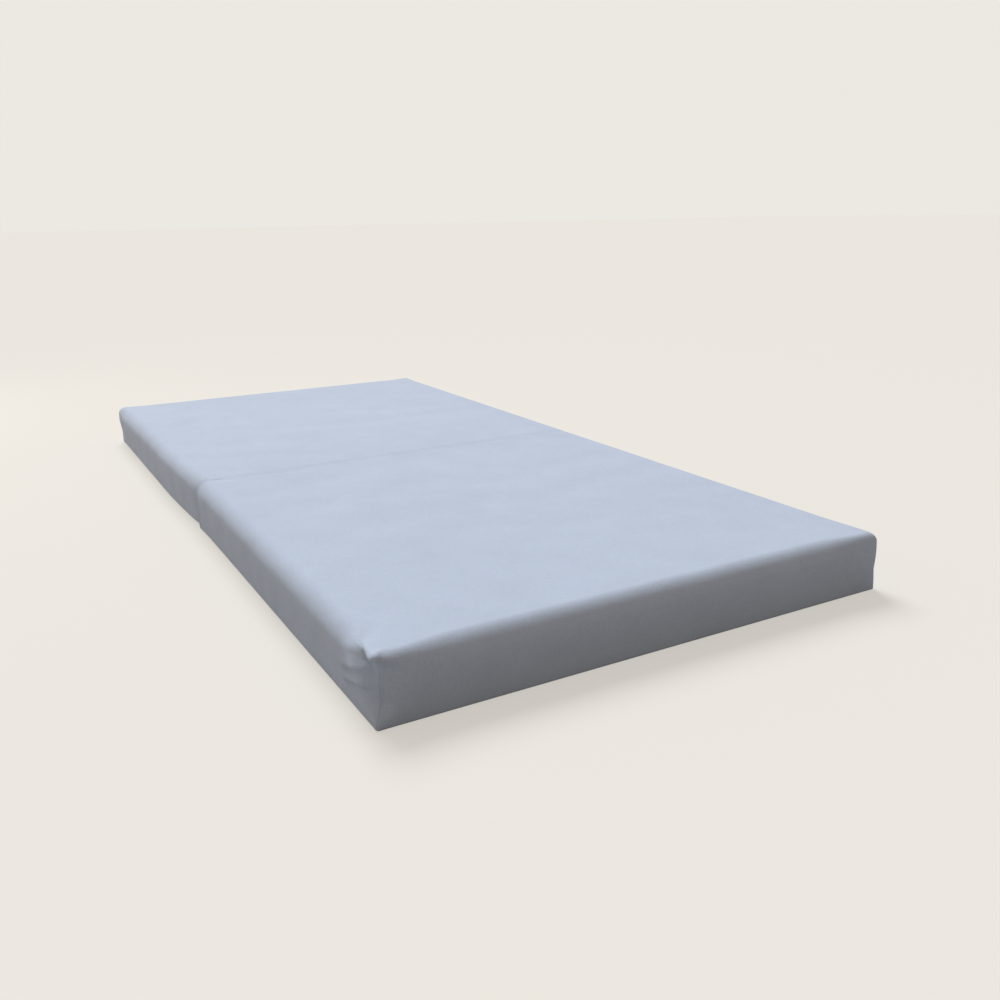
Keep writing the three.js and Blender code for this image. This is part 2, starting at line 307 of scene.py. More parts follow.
def cloth_field(name):
    """Lets a light cloth settle on the padded form, held at its seams and swollen by the foam. Returns a
    search tree of the resting points and how far each one moved."""
    lattice = coarse_lattice()
    rest = shaped(lattice, name)
    rng = np.random.default_rng(CREASE_SEEDS[name])
    start = rest.copy()
    for _ in range(RIPPLES):
        heading, waves, shift = rng.uniform(0, 2 * math.pi), rng.uniform(20, 90), rng.uniform(0, 2 * math.pi)
        along = rest[:, 0] * math.cos(heading) + rest[:, 1] * math.sin(heading)
        start[:, 2] += RIPPLE_HEIGHT * np.sin(waves * along + shift) * (rest[:, 2] > 0.01)
    obj = new_mesh("settling_cloth", start, lattice.faces)
    raw = lattice.raw
    held = np.full(len(rest), FREE_HOLD)
    upright = (np.abs(raw[:, 0]) > HALF_WIDTH - NEAR) & (raw[:, 1] > OUTER - NEAR) & (raw[:, 2] < 0.07)
    held[(raw[:, 2] < NEAR) | (raw[:, 1] < FOLD_FACE + NEAR) | upright] = 1
    group = obj.vertex_groups.new(name="held")
    for value in np.unique(held):
        group.add(np.nonzero(held == value)[0].tolist(), float(value), "REPLACE")
    cloth = obj.modifiers.new("cloth", "CLOTH")
    for key, value in CLOTH_SETTINGS.items():
        setattr(cloth.settings, key, value)
    cloth.settings.effector_weights.gravity = 0
    cloth.collision_settings.use_collision = False
    scene = bpy.context.scene
    scene.frame_start, scene.frame_end = 1, SETTLE_FRAMES
    cloth.point_cache.frame_start, cloth.point_cache.frame_end = 1, SETTLE_FRAMES
    for f in range(1, SETTLE_FRAMES + 1):
        scene.frame_set(f)
    depsgraph = bpy.context.evaluated_depsgraph_get()
    shape = obj.evaluated_get(depsgraph).to_mesh()
    moved = np.empty(len(rest) * 3)
    shape.vertices.foreach_get("co", moved)
    moved = moved.reshape(-1, 3) - rest
    mesh = obj.data
    bpy.data.objects.remove(obj)
    bpy.data.meshes.remove(mesh)
    scene.frame_set(1)
    tree = KDTree(len(rest))
    for i, point in enumerate(rest):
        tree.insert(point, i)
    tree.balance()
    return tree, moved


def transferred(points, field):
    tree, moved = field
    out = np.zeros_like(points)
    for i, point in enumerate(points):
        near = tree.find_n(point, 6)
        w = np.array([1 / (d * d + 4e-5) for _, _, d in near])
        out[i] = (moved[[j for _, j, _ in near]] * w[:, None]).sum(0) / w.sum()
    return out


# ---------------------------------------------------------------- seams, creases and the gathered corner
def blob(s, z, s0, z0, ws, wz, tilt):
    """A bell of two widths round (s0, z0), its first axis turned by tilt."""
    a, b = s - s0, z - z0
    u = a * math.cos(tilt) + b * math.sin(tilt)
    v = b * math.cos(tilt) - a * math.sin(tilt)
    return np.exp(-((u / ws) ** 2) - ((v / wz) ** 2))


def crease(s, z, a, b, width):
    """A bell across the line from a to b, which fades out past its ends."""
    a, b = np.array(a), np.array(b)
    d = b - a
    length = float(np.hypot(*d))
    d = d / length
    along = (s - a[0]) * d[0] + (z - a[1]) * d[1]
    across = (z - a[1]) * d[0] - (s - a[0]) * d[1]
    past = np.maximum(0, np.maximum(-along, along - length))
    return np.exp(-((across / width) ** 2) - ((past / (1.6 * width)) ** 2))


GROOVE_SHARE = 0.42  # of a lap's width


def lapped(s, z, a, b, lap, groove, width):
    """A fold whose upper side laps over its lower side along the line from a to b."""
    (s0, z0), (s1, z1) = a, b
    length = math.hypot(s1 - s0, z1 - z0)
    up_s, up_z = -(z1 - z0) / length, (s1 - s0) / length
    if up_z < 0:
        up_s, up_z = -up_s, -up_z
    above = [(s0 + up_s * width, z0 + up_z * width), (s1 + up_s * width, z1 + up_z * width)]
    return lap * crease(s, z, *above, width) - groove * crease(s, z, a, b, GROOVE_SHARE * width)


# The gathered corner, at places (s, z) on the walls: s is 0 at the upright corner, negative on the left
# wall and positive on the end one.
SWELLS = (  # how far out, where, its two widths and its tilt
    (0.0026, -0.066, 0.066, 0.028, 0.016, -0.35),  # the puff on the left wall
    (0.0022, -0.046, 0.053, 0.026, 0.010, -0.30),  # the lesser one under it
    (0.0012, 0.000, 0.096, 0.012, 0.006, 0.0),  # the ear
    (-0.0092, -0.034, 0.086, 0.024, 0.0090, -0.45),  # the hollow under the ear
    (-0.0036, -0.018, 0.064, 0.015, 0.0100, 0.0),  # and the one behind the puff
    (0.0014, 0.018, 0.088, 0.014, 0.006, 0.0),  # beside the ear, on the end wall
)
LAPS = (  # from, to, how far the upper side stands out and the lower one in, and the width
    ((-0.104, 0.042), (-0.040, 0.064), 0.0013, 0.0031, 0.0078),
    ((-0.098, 0.024), (-0.034, 0.042), 0.0017, 0.0036, 0.0080),
    ((-0.034, 0.042), (-0.004, 0.052), 0.0008, 0.0013, 0.0075),
)
PLEAT_FROM = (-0.034, 0.084)  # in the hollow
CREASES = (  # from, to, depth and width
    ((-0.012, 0.088), (0.012, 0.083), 0.0014, 0.0030),
    ((0.004, 0.086), (0.034, 0.074), 0.0011, 0.0036),
    *((PLEAT_FROM, to, 0.0004, 0.0026) for to in ((-0.054, 0.064), (-0.064, 0.070), (-0.074, 0.080))),
)
EAR_LIFT, EAR_SIZE = 0.0026, 0.020
GATHER_DEPTH = 0.030  # how far in from the walls the gathers reach


def gathered_corner(p, raw):
    """How far the cloth stands out at the front left corner, where it is gathered under a small ear."""
    in_x, in_y = raw[:, 0] + HALF_WIDTH, OUTER - raw[:, 1]
    s, z = in_x - in_y, p[:, 2]
    out = EAR_LIFT * np.exp(-((np.hypot(in_x, in_y) / EAR_SIZE) ** 2)) * smooth(z, 0.088, 0.097)
    for height, *bell in SWELLS:
        out += height * blob(s, z, *bell)
    for lap in LAPS:
        out += lapped(s, z, *lap)
    for a, b, depth, width in CREASES:
        out -= depth * crease(s, z, a, b, width)
    return out * np.exp(-((np.minimum(in_x, in_y) / GATHER_DEPTH) ** 2))


def beside_ear(raw):
    """1 at the front left upright corner, fading out along both walls."""
    in_x, in_y = raw[:, 0] + HALF_WIDTH, OUTER - raw[:, 1]
    along, inward = np.maximum(in_x, in_y), np.minimum(in_x, in_y)
    return np.exp(-((along / 0.085) ** 2)) * np.exp(-((inward / GATHER_DEPTH) ** 2))


FRONT_PROUD = 0.0024  # how far each left wall is moved, beside the fold or further back
REAR_DRAWN, REAR_LIFT = 0.0065, 0.0030
REAR_BOW, REAR_END_BULGE = 0.0066, 0.0030


def drawn_in(p, front):
    """The left wall's place in each half. At the fold the rear half's is drawn in and its lower edge
    lifts, so that the front half stands a little proud of it, and further back it bows outward."""
    left = smooth(-p[:, 0], 0.22, 0.445)
    from_fold = np.maximum(p[:, 1] - FOLD_FACE, 0)
    beside = np.exp(-from_fold / 0.050)
    q = p.copy()
    if front:
        q[:, 0] -= FRONT_PROUD * left * beside
    else:
        q[:, 0] += REAR_DRAWN * left * np.exp(-from_fold / 0.030)
        q[:, 0] -= REAR_BOW * left * smooth(from_fold, 0, 0.32)
        q[:, 0] -= REAR_END_BULGE * left * hump(p[:, 2], 0.072, 0.030) * smooth(from_fold, 0.50, 0.90)
        q[:, 2] += REAR_LIFT * left * beside * (1 - p[:, 2] / TOP)
    return q


def seam_distance(raw, p, front):
    """Distance to the nearest seam, and how far the cloth is pulled in or stands out for it."""
    in_left, in_right = raw[:, 0] + HALF_WIDTH, HALF_WIDTH - raw[:, 0]
    in_outer, in_fold = OUTER - raw[:, 1], raw[:, 1] - FOLD_FACE
    z = raw[:, 2]
    inward = np.minimum(np.minimum(in_left, in_right), in_outer)
    hem = np.hypot(inward, z)
    corners = np.minimum(np.hypot(in_left, in_outer), np.hypot(in_right, in_outer))
    corners = corners + 0.02 * smooth(p[:, 2], 0.072, 0.084)
    round_wall = np.minimum(np.minimum(in_left, in_right), np.minimum(TOP - z, z))
    fold = np.hypot(in_fold, round_wall)
    on_zip_wall = in_right < NEAR
    along_zip = on_zip_wall & (raw[:, 1] <= ZIP_END + NEAR)
    zip_edge = np.where(along_zip, np.abs(np.abs(z - ZIP_MIDDLE) - (ZIP_HIGH - ZIP_MIDDLE)), 1.0)
    strip_end = np.where(on_zip_wall & (z < ZIP_LOW + NEAR), np.abs(raw[:, 1] - ZIP_END), 1.0)
    past = np.minimum(np.abs(raw[:, 1] - OPEN_FROM), np.abs(raw[:, 1] - OPEN_TO))
    opening_end = np.where(on_zip_wall & (np.abs(z - ZIP_MIDDLE) < ZIP_HIGH - ZIP_MIDDLE + NEAR), past, 1.0)
    out = np.zeros(len(raw))
    for d, depth, width in (
        (hem, 0.0004, 0.0010), (corners, 0.0007, 0.0013), (fold, 0.0007, 0.0011),
        (zip_edge, 0.0007, 0.0011), (strip_end, 0.0009, 0.0012), (opening_end, 0.0005, 0.0010),
    ):
        out += -depth * hump(d, 0, width) + 0.35 * depth * hump(d, 0.0045, 0.0025)
    if front:  # the seam's lip at the fold, on the left wall
        out += 0.0011 * hump(in_fold, 0.0032, 0.0020) * (in_left < NEAR) * smooth(z, 0.002, 0.012)
    nearest = np.minimum.reduce([hem, corners, fold, zip_edge, strip_end, opening_end])
    return nearest, out


TOP_FOLDS = (  # on the front half's top near the fold: from, to, depth and width
    ((-0.405, 0.012), (-0.330, 0.050), 0.0009, 0.007),
    ((-0.330, 0.020), (-0.235, 0.034), 0.0006, 0.008),
    ((-0.260, 0.235), (-0.200, 0.262), 0.0005, 0.009),
    ((0.180, 0.016), (0.300, 0.030), 0.0005, 0.008),
)
SETTLED_SHARE = (0.16, 0.30)  # of the settled cloth's movement that is kept, on the top and on the walls
SETTLED_MOST = (0.0009, 0.0026)  # and the furthest that it moves them
ZIP_PROUD = 0.0003  # the most that the wall stands out beside the zip, clear of the turned pull


def fitted(lattice, name, field):
    """The finished outside of a half, with the distance of each point to its nearest seam."""
    front = name == "front"
    raw = lattice.raw
    p = shaped(lattice, name)
    if field is not None:
        moved = transferred(p, field)
        fade = smooth(raw[:, 1], FOLD_FACE + 0.006, FOLD_FACE + 0.05)
        zip_wall = smooth(p[:, 0], 0.93 * HALF_WIDTH, HALF_WIDTH)
        upward = smooth(p[:, 2], 0.085, 0.099)
        on_top, on_wall = SETTLED_SHARE
        share = (on_top * upward + on_wall * (1 - upward)) * fade * (1 - 0.85 * zip_wall)
        step = moved * share[:, None]
        size = np.linalg.norm(step, axis=1)
        cap = SETTLED_MOST[0] * upward + SETTLED_MOST[1] * (1 - upward)
        step *= (np.tanh(size / cap) * cap / np.maximum(size, 1e-9))[:, None]
        step[raw[:, 2] < NEAR] = 0
        p = p + step
    seam, out = seam_distance(raw, p, front)
    if front:
        out = out + gathered_corner(p, raw)
        top_side = raw[:, 2] > TOP - NEAR
        for a, b, depth, width in TOP_FOLDS:
            out -= depth * crease(raw[:, 0], raw[:, 1], a, b, width) * top_side
    n = normals(p, lattice.faces)
    p = p + n * out[:, None]
    p = drawn_in(p, front)
    beside_zip = 1 - smooth(np.abs(p[:, 2] - ZIP_MIDDLE), 0.0065, 0.0120)
    proud = np.maximum(0, p[:, 0] - HALF_WIDTH - ZIP_PROUD)
    p[:, 0] -= beside_zip * proud
    p[:, 1] = np.maximum(p[:, 1], FOLD_FACE - 0.0006)
    p[:, 2] = np.maximum(p[:, 2], 0)
    return p, seam


def panel_of(side, centre):
    if side == "fold":
        return "fold_wall"
    if side == "bottom":
        return "bottom_panel"
    if side == "right" and centre[1] < ZIP_END:
        if centre[2] < ZIP_LOW:
            return "side_strip"
        if centre[2] < ZIP_HIGH and OPEN_FROM < centre[1] < OPEN_TO:
            return None
    return "cover_top"


def unrolled(side, x, y, z):
    """Where a lattice point lies on its cloth, in metres."""
    drop = TOP - z
    return {
        "top": (x, y), "bottom": (x, y), "fold": (x, z), "outer": (x, OUTER + drop),
        "left": (-HALF_WIDTH - drop, y), "right": (HALF_WIDTH + drop, y),
    }[side]


def mark_cloth(obj, uv, seam):
    """Keeps on a piece where each face corner lies on its cloth, and each point's distance to a seam."""
    layer = obj.data.uv_layers.new(name="cloth")
    layer.data.foreach_set("uv", uv.reshape(-1).astype(np.float32))
    near = obj.data.attributes.new("seam", "FLOAT", "POINT")
    near.data.foreach_set("value", np.tile(seam, 2).astype(np.float32))


def build_half(name, field):
    """The four panels of a half's cover, each a closed shell as thick as the cloth."""
    front = name == "front"
    lattice = half_lattice(gathered=front)
    points, seam = fitted(lattice, name, field)
    outward = normals(points, lattice.faces)
    inside = points - outward * CLOTH
    inside[:, 2] = np.maximum(inside[:, 2], 0)
    xs, ys, zs = lattice.lines
    at = np.stack([xs[lattice.corners[..., 0]], ys[lattice.corners[..., 1]], zs[lattice.corners[..., 2]]], 2)
    centres = at.mean(1)
    labels = np.array([panel_of(s, c) or "" for s, c in zip(lattice.sides, centres)])
    panels = {}
    for label in ("cover_top", "side_strip", "fold_wall", "bottom_panel"):
        pick = labels == label
        faces = lattice.faces[pick]
        uv = np.empty(at[pick].shape[:2] + (2,))
        for side in np.unique(lattice.sides[pick]):
            mine = lattice.sides[pick] == side
            a = at[pick][mine]
            u, v = unrolled(side, a[..., 0], a[..., 1], a[..., 2])
            uv[mine] = np.stack([np.broadcast_to(u, a.shape[:2]), np.broadcast_to(v, a.shape[:2])], 2)
        used, index = np.unique(faces, return_inverse=True)
        index = index.reshape(faces.shape)
        count = len(used)
        edges = np.stack([index, np.roll(index, -1, 1)], 2).reshape(-1, 2)
        edge_uv = np.stack([uv, np.roll(uv, -1, 1)], 2).reshape(-1, 2, 2)
        keys = edges[:, 0].astype(np.int64) * count + edges[:, 1]
        rim = ~np.isin(keys, edges[:, 1].astype(np.int64) * count + edges[:, 0])
        a, b = edges[rim, 0], edges[rim, 1]
        rim_faces = np.stack([b, a, a + count, b + count], 1)
        rim_uv = np.stack([edge_uv[rim, 1], edge_uv[rim, 0], edge_uv[rim, 0], edge_uv[rim, 1]], 1)
        all_faces = np.concatenate([index, index[:, ::-1] + count, rim_faces])
        all_uv = np.concatenate([uv, uv[:, ::-1], rim_uv])
        all_points = np.concatenate([points[used], inside[used]])
        obj = new_mesh(f"{name}_{label}_cloth", all_points, all_faces, front)
        mark_cloth(obj, all_uv[:, ::-1] if front else all_uv, seam[used])
        panels[label] = obj
    return panels


# ---------------------------------------------------------------- what lies inside and between
FOAM_INSET = 0.0032  # the foam's surface, under the outside of the cloth
FOAM_PRESSED = 0.0028  # and further in behind the zip


def build_foam(name):
    """The foam block: the cover's form, a little smaller, pressed in behind the zip."""
    front = name == "front"
    ends = np.array([0, 4, 9, 15, 21, 28, 40]) * MM
    xs, ys = (spaced(a, b, ends, ends, 0.030) for a, b in ((-HALF_WIDTH, HALF_WIDTH), (FOLD_FACE, OUTER)))
    lattice = Lattice(xs, ys, spaced(0, TOP, ends[:4], ends[:6], 0.006))
    p = shaped(lattice, name)
    n = normals(p, lattice.faces)
    p = p - n * FOAM_INSET
    if front:
        hollows = np.minimum(gathered_corner(p, lattice.raw), 0)
        p = p + n * (1.15 * hollows - 0.002 * beside_ear(lattice.raw))[:, None]
    tape_reach = TAPE_HIGH - ZIP_MIDDLE + 0.001
    behind = 1 - smooth(np.abs(p[:, 2] - ZIP_MIDDLE), tape_reach, tape_reach + 0.006)
    p[:, 0] -= FOAM_PRESSED * behind * smooth(p[:, 0], 0.98 * HALF_WIDTH, 0.99 * HALF_WIDTH)
    return new_mesh(f"{name}_foam_block", drawn_in(p, front), lattice.faces, front)


HINGE_LIFT, HINGE_GROOVE, HINGE_EDGE = 0.00022, 0.00035, 0.0006  # over the top, at the seam, at its rims
HINGE_THICK = 0.0009
HINGE_SEAM_AWAY = 0.004  # its seam puckers the cloth less than the others do, and the shade painted beside it is fainter
HINGE_SHARE = 0.9745  # of the width
HINGE_OUT = [0, 0.45, 0.9, 1.4, 1.9, 2.5, 3.1, 3.8, 4.6, 5.4, 6.2, 7.0]  # lines each way from the seam, mm


def build_hinge():
    """The strip of top cloth that crosses the fold, joined along the seam."""
    bend = np.linspace(0.925, HINGE_SHARE, 12)  # closer together where it turns down at its ends
    across = np.concatenate([-bend, np.linspace(-0.925, 0.925, 90), bend])
    xs = np.unique(np.round(across * HALF_WIDTH, 6))
    ys = np.array([-d for d in HINGE_OUT[:0:-1]] + HINGE_OUT) * MM
    x, y = np.meshgrid(xs, ys, indexing="ij")
    rim_fall = HINGE_EDGE * smooth(np.abs(y), 0.0052, 0.0070)
    lift = HINGE_LIFT - HINGE_GROOVE * hump(y, 0, 0.0012) - rim_fall
    raw = np.stack([x.ravel(), y.ravel(), np.full(x.size, TOP)], 1)
    radius = edge_radius(raw * [1, 0, 1], "rear")
    p = rolled(raw, radius, ("x", "top"), 2)
    away = p - inner(p, radius, ("x", "top"))
    away /= np.linalg.norm(away, axis=1)[:, None]
    p = p + away * lift.ravel()[:, None]
    rearward = smooth(p[:, 1], -0.006, 0.006)[:, None]
    front_side, rear_side = p * [1, -1, 1], p.copy()
    front_side[:, 1] = rear_side[:, 1] = FOLD_FACE
    shifted = drawn_in(front_side, True) * (1 - rearward) + drawn_in(rear_side, False) * rearward
    p[:, 0], p[:, 2] = shifted[:, 0], shifted[:, 2]
    nx, ny = x.shape
    i, j = np.meshgrid(np.arange(nx - 1), np.arange(ny - 1), indexing="ij")
    a = (i * ny + j).ravel()
    faces = np.stack([a, a + ny, a + ny + 1, a + 1], 1)
    count = len(p)
    under = p - away * HINGE_THICK
    last = (nx - 1) * ny
    around = [k * ny for k in range(nx - 1)] + [last + k for k in range(ny - 1)]
    around += [k * ny + ny - 1 for k in range(nx - 1, 0, -1)] + list(range(ny - 1, 0, -1))
    rim = np.array([(b, a, a + count, b + count) for a, b in zip(around, around[1:] + around[:1])])
    all_faces = np.concatenate([faces, faces[:, ::-1] + count, rim])
    obj = new_mesh("fold_hinge_cloth", np.concatenate([p, under]), all_faces)
    mark_cloth(obj, raw[all_faces % count, :2], np.abs(raw[:, 1]) + HINGE_SEAM_AWAY)
    return obj


BINDING_TOP = TOP - 0.0032  # clear of the strip of cloth over it


def build_binding():
    """The folded binding round the seam's allowance, seen in the open fold."""
    tape_low, tape_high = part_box("fold_seam_tape")
    top, foot, turned = BINDING_TOP, tape_low.z, tape_low.z + 0.0008
    half = (tape_high.y - tape_low.y) / 2
    left = [(-half, top), (-half, turned), (-half / 2, foot)]
    outline = left + [(-y, z) for y, z in left[::-1]]
    xs = np.linspace(tape_low.x + 0.002, tape_high.x - 0.002, 150)
    ripple, pace = 0.00022, 210  # it waves a little towards its free edge
    points = [(x, y + ripple * math.sin(x * pace) * (top - z) / (top - foot), z)
              for x in xs for y, z in outline]
    k = len(outline)
    faces = [(a * k + b, a * k + (b + 1) % k, (a + 1) * k + (b + 1) % k, (a + 1) * k + b)
             for a in range(len(xs) - 1) for b in range(k)]
    last = (len(xs) - 1) * k
    caps = [tuple(range(k))[::-1], tuple(last + b for b in range(k))]
    obj = new_object("fold_seam_binding", points, faces + caps)
    obj.data.shade_flat()
    return obj


# ---------------------------------------------------------------- zip teeth and stitches
def many(name, shape, shape_faces, places, front):
    """One mesh of many small solids, with shape's points at each place."""
    shape = np.asarray(shape)
    points = np.concatenate([shape + place for place in places])
    faces = [tuple(v + i * len(shape) for v in f) for i in range(len(places)) for f in shape_faces]
    if front:
        faces = [f[::-1] for f in faces]
    return new_object(name, mirrored(points, front).tolist(), faces)


def circle(sides, shift):
    """The corners of a regular polygon of radius 1, the first one shift sides round."""
    return [(math.cos(a), math.sin(a)) for a in (2 * math.pi / sides * (i + shift) for i in range(sides))]


def tube(rings, sides):
    """The side faces of a tube through rings of points, which go round in the same sense."""
    around = [(i, (i + 1) % sides) for i in range(sides)]
    return [(r + sides + a, r + sides + b, r + b, r + a)
            for r in range(0, (rings - 1) * sides, sides) for a, b in around]


TOOTH_PITCH = 0.00160
TOOTH_OVERLAP = 0.00022  # past the middle of the chain, between the teeth across from it
TOOTH_FULLNESS = 1.04


def tooth(up):
    """One tooth of the chain: a rounded bar from the tape's edge with a wider head."""
    chain_low, chain_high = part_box("rear_zip_chain_upper")
    half = TOOTH_FULLNESS * (chain_high.x - chain_low.x) / 2
    root, tip = chain_high.z - ZIP_MIDDLE, chain_low.z - ZIP_MIDDLE - TOOTH_OVERLAP
    rings = (  # height, share of the chain's thickness and half width along the chain
        (root, 0.62, 0.00052), (0.6 * root + 0.4 * tip, 0.84, 0.00044),
        (0.25 * root + 0.75 * tip, 1.0, 0.00060), (tip, 0.72, 0.00040),
    )
    points = [(half * share * c, TOOTH_FULLNESS * w * q, up * z)
              for z, share, w in rings for c, q in circle(8, 0.5)]
    caps = [(0, 1, 2, 3), (4, 5, 6, 7), (0, 3, 4, 7)]
    last = (len(rings) - 1) * 8
    faces = tube(len(rings), 8) + caps + [tuple(last + v for v in c[::-1]) for c in caps]
    return points, faces if up > 0 else [f[::-1] for f in faces]


def build_chain(name, which):
    """The teeth of one half of a chain. The lower ones lie between the upper ones."""
    up = 1 if which == "upper" else -1
    chain_low, chain_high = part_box(f"rear_zip_chain_{which}")
    points, faces = tooth(up)
    middle = (chain_low.x + chain_high.x) / 2
    start = chain_low.y + TOOTH_PITCH / 2 + (0 if up > 0 else TOOTH_PITCH / 2)
    ys = np.arange(start, chain_high.y - TOOTH_PITCH / 2, TOOTH_PITCH)
    places = [(middle, y, ZIP_MIDDLE) for y in ys]
    obj = many(f"{name}_zip_teeth_{which}", points, faces, places, name == "front")
    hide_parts(f"{name}_zip_chain_{which}")
    return obj


STITCH_PITCH = 0.0034
STITCH_HALF, STITCH_RADIUS = 0.00130, 0.00033
STITCH_LIFT = 0.00012  # of its middle over the cloth
STITCH_IN = 0.0042  # from the zip's window


def build_stitches(name):
    """The two rows of topstitching that hold the zip's tapes to the cloth."""
    rings = ((-1, 0.35, -0.00025), (-0.7, 0.85, 0), (0, 1, 0.00010), (0.7, 0.85, 0), (1, 0.35, -0.00025))
    points = [(STITCH_RADIUS * share * c + rise, STITCH_HALF * along, STITCH_RADIUS * share * q)
              for along, share, rise in rings for c, q in circle(6, 0)]
    last, count = len(points) - 6, len(points)
    points += [(rings[0][2], -STITCH_HALF, 0), (rings[-1][2], STITCH_HALF, 0)]
    faces = tube(len(rings), 6) + [(i, (i + 1) % 6, count) for i in range(6)]
    faces += [(last + (i + 1) % 6, last + i, count + 1) for i in range(6)]
    places = []
    for z in (ZIP_HIGH + STITCH_IN, ZIP_LOW - STITCH_IN):
        x = HALF_WIDTH + ZIP_WALL_SWELL * wall_swell(z) + STITCH_LIFT
        places += [(x, y, z) for y in np.arange(FOLD_FACE + 0.008, ZIP_END - 0.006, STITCH_PITCH)]
    return many(f"{name}_zip_stitching", points, faces, places, name == "front")


# ---------------------------------------------------------------- materials
class Nodes:
    """Short hands for building the node tree of a world or a material."""

    def __init__(self, owner):
        owner.use_nodes = True
        self.tree = owner.node_tree
        self.tree.nodes.clear()

    def add(self, kind, **values):
        node = self.tree.nodes.new(kind)
        for key, value in values.items():
            setattr(node, key, value)
        return node

    def join(self, output, socket):
        self.tree.links.new(output, socket)

    def math(self, operation, a, b=None):
        node = self.add("ShaderNodeMath", operation=operation)
        for slot, value in enumerate((a, b)):
            if isinstance(value, (int, float)):
                node.inputs[slot].default_value = value
            elif value is not None:
                self.join(value, node.inputs[slot])
        return node.outputs[0]

    def seen_itself(self):
        """1 for what the camera sees, also in metal and through glass, and 0 for light on other things."""
        path = self.add("ShaderNodeLightPath")
        seen = self.math("MAXIMUM", path.outputs["Is Camera Ray"], path.outputs["Is Glossy Ray"])
        return self.math("MAXIMUM", seen, path.outputs["Is Transmission Ray"])

    def choose(self, factor, a, b, out):
        """Shader b by factor and a for the rest, into the output node."""
        node = self.add("ShaderNodeMixShader")
        for value, socket in zip((factor, a, b), node.inputs):
            self.join(value, socket)
        self.join(node.outputs[0], out.inputs["Surface"])


class Surface(Nodes):
    """A material with a Principled shader."""

    def __init__(self, name):
        self.material = bpy.data.materials.new(name)
        super().__init__(self.material)
        self.out = self.add("ShaderNodeOutputMaterial")
        self.shader = self.add("ShaderNodeBsdfPrincipled")
        self.join(self.shader.outputs["BSDF"], self.out.inputs["Surface"])

    def place(self):
        return self.add("ShaderNodeTexCoord").outputs["Object"]

    def parts(self, vector):
        node = self.add("ShaderNodeSeparateXYZ")
        self.join(vector, node.inputs[0])
        return node.outputs

    def unit(self, wave):
        """A wave between -1 and 1, brought to between 0 and 1: the node's third input is 0.5 by itself."""
        return self.math("MULTIPLY_ADD", wave, 0.5)

    def noise(self, vector, scale, detail=2.0, roughness=0.5):
        node = self.add("ShaderNodeTexNoise")
        node.inputs["Scale"].default_value = scale
        node.inputs["Detail"].default_value = detail
        node.inputs["Roughness"].default_value = roughness
        self.join(vector, node.inputs["Vector"])
        return node.outputs["Fac"]

    def stretched(self, vector, scale):
        node = self.add("ShaderNodeMapping")
        node.inputs["Scale"].default_value = scale
        self.join(vector, node.inputs["Vector"])
        return node.outputs["Vector"]

    def spread(self, factor, low, high):
        node = self.add("ShaderNodeMapRange")
        node.inputs["To Min"].default_value = low
        node.inputs["To Max"].default_value = high
        self.join(factor, node.inputs["Value"])
        return node.outputs["Result"]

    def ramp(self, factor, *stops):
        node = self.add("ShaderNodeValToRGB")
        for element, (place, colour) in zip(node.color_ramp.elements, stops):
            element.position = place
            element.color = (*colour, 1)
        self.join(factor, node.inputs["Fac"])
        return node.outputs["Color"]

    def mix(self, factor, a, b, blend="MIX"):
        node = self.add("ShaderNodeMix", data_type="RGBA", blend_type=blend)
        for name, value in (("Factor", factor), ("A", a), ("B", b)):
            socket = next(s for s in node.inputs if s.name == name and s.enabled)
            if isinstance(value, float):
                socket.default_value = value
            elif isinstance(value, tuple):
                socket.default_value = (*value, 1)
            else:
                self.join(value, socket)
        return next(s for s in node.outputs if s.enabled)

    def bump(self, height, distance, strength, normal=None):
        node = self.add("ShaderNodeBump")
        node.inputs["Distance"].default_value = distance
        node.inputs["Strength"].default_value = strength
        self.join(height, node.inputs["Height"])
        if normal is not None:
            self.join(normal, node.inputs["Normal"])
        return node.outputs["Normal"]

    def value(self, name, value):
        self.shader.inputs[name].default_value = value

    def into(self, name, output):
        self.join(output, self.shader.inputs[name])


WHITE = (1.0, 1.0, 1.0)


def tinted(colour, factor):
    return tuple(c * factor for c in colour)


THREAD_PITCH = 0.00075
FIBRE_SCALES = (1400, 45, 1)  # across and along the threads, per metre


